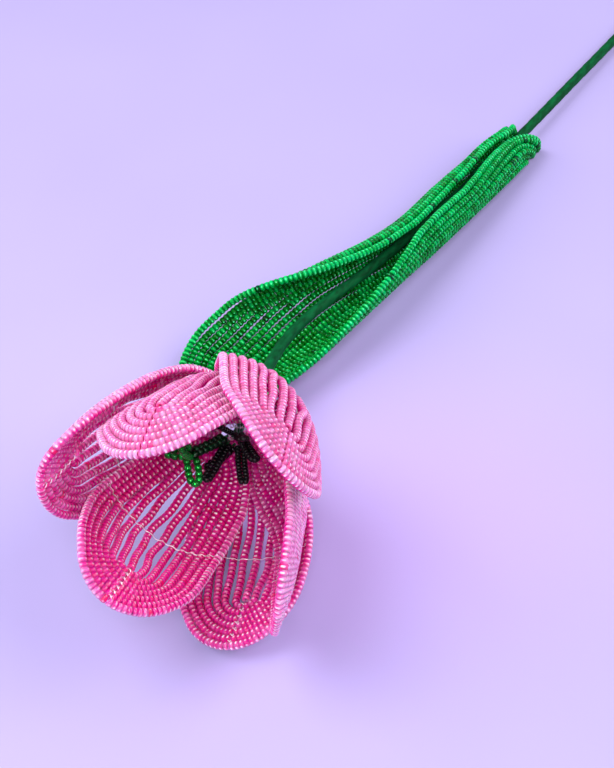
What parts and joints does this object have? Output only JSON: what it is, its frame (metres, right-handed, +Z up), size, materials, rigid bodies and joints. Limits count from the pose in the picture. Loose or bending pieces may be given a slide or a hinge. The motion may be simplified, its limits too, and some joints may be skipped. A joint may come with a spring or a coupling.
{
  "type": "beaded tulip",
  "caption": "Cut tulip made of beaded wire petals, stamens, a pistil and a leaf on a tape-wrapped wire stem, lying on its side.",
  "frame": {"origin": "centre of the box round the lying flower, on the surface that it lies on", "axes": "+Z up from the surface, +X along the stem away from the flower, +Y to the side that the stem bows towards behind the flower"},
  "size_m": [0.3547, 0.0844, 0.075],
  "materials": {
    "pink_beads": "translucent pink glass seed beads, pearly outside and deep magenta inside",
    "green_beads": "transparent bright green glass seed beads",
    "black_beads": "glossy opaque black glass seed beads",
    "silver_lined_green_beads": "dark green glass seed beads lined with silver",
    "floral_tape": "waxed crepe paper tape, dark green",
    "stem_wire": "plain drawn wire"
  },
  "bodies": {
    "root": {"petal_inner_1": "pink_beads", "petal_inner_2": "pink_beads", "petal_inner_3": "pink_beads", "petal_outer_1": "pink_beads", "petal_outer_2": "pink_beads", "petal_outer_3": "pink_beads", "leaf": "green_beads", "stamen_1": "black_beads", "stamen_2": "black_beads", "stamen_3": "black_beads", "stamen_4": "black_beads", "stamen_5": "black_beads", "stamen_6": "black_beads", "pistil": "silver_lined_green_beads", "flower_binding": "floral_tape", "leaf_binding": "floral_tape", "stem_wrap": "floral_tape", "stem_core": "stem_wire"}
  },
  "joints": []
}
